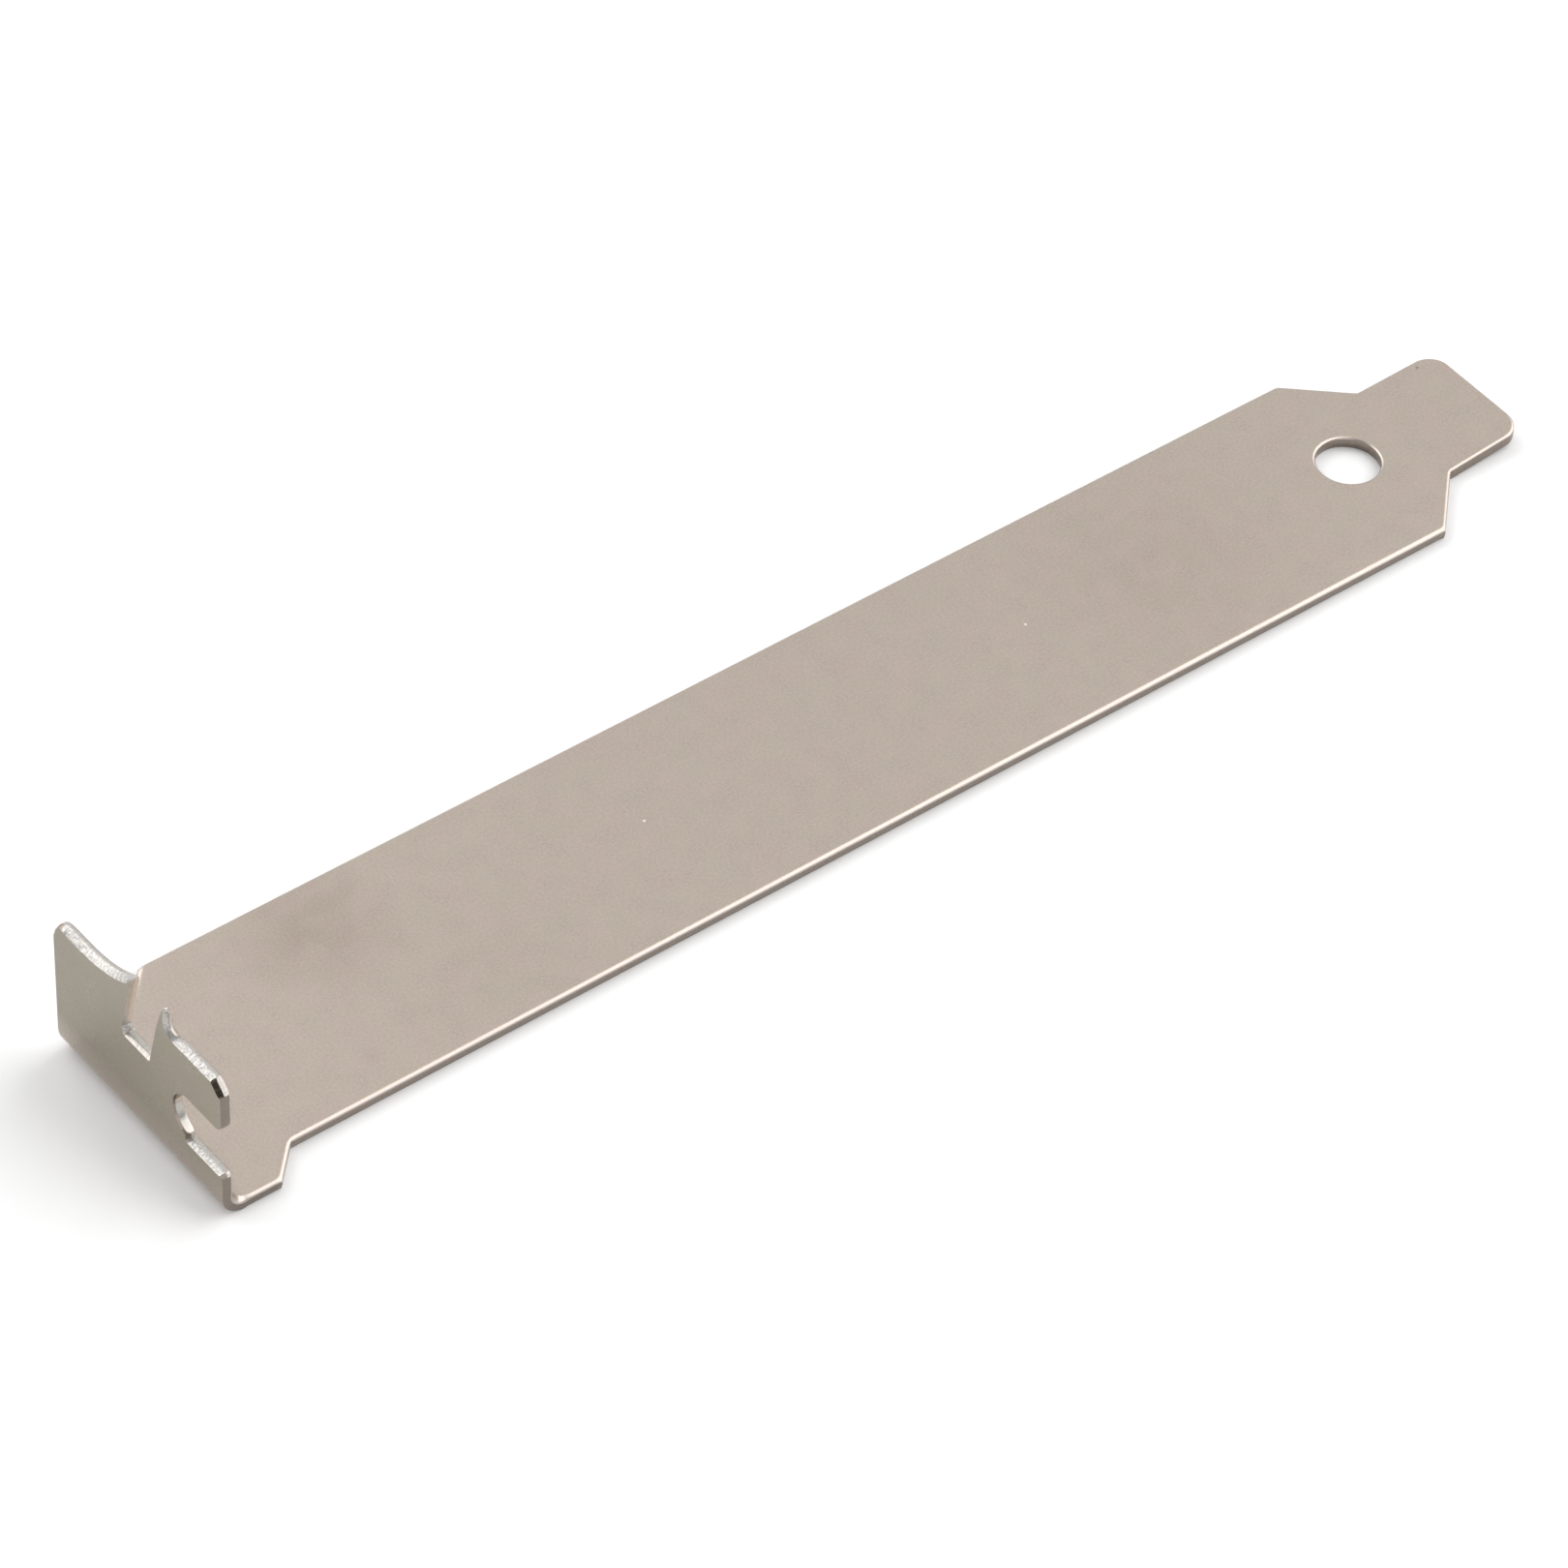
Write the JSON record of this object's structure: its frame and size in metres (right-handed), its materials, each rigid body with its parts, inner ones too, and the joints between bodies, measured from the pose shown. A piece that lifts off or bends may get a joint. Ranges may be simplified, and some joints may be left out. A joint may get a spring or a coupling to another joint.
{
  "type": "expansion slot cover",
  "caption": "Flat sheet-steel cover that closes an unused expansion slot, with a folded fixing tab, an open screw slot, a hooked notch and a narrow tongue.",
  "frame": {"origin": "on the underside, on the strip's centreline, halfway along the overall length", "axes": "+X from the folded tab along the strip to the tongue; +Z square to the strip, the way the tab stands up, which is out of the computer; +Y from the tab's screw slot side to its ear side"},
  "size_m": [0.1203, 0.0209, 0.0147],
  "materials": {
    "nickel_plated_steel": "satin nickel plating over rolled sheet steel"
  },
  "bodies": {
    "root": {"slot_cover": "nickel_plated_steel"}
  },
  "joints": []
}
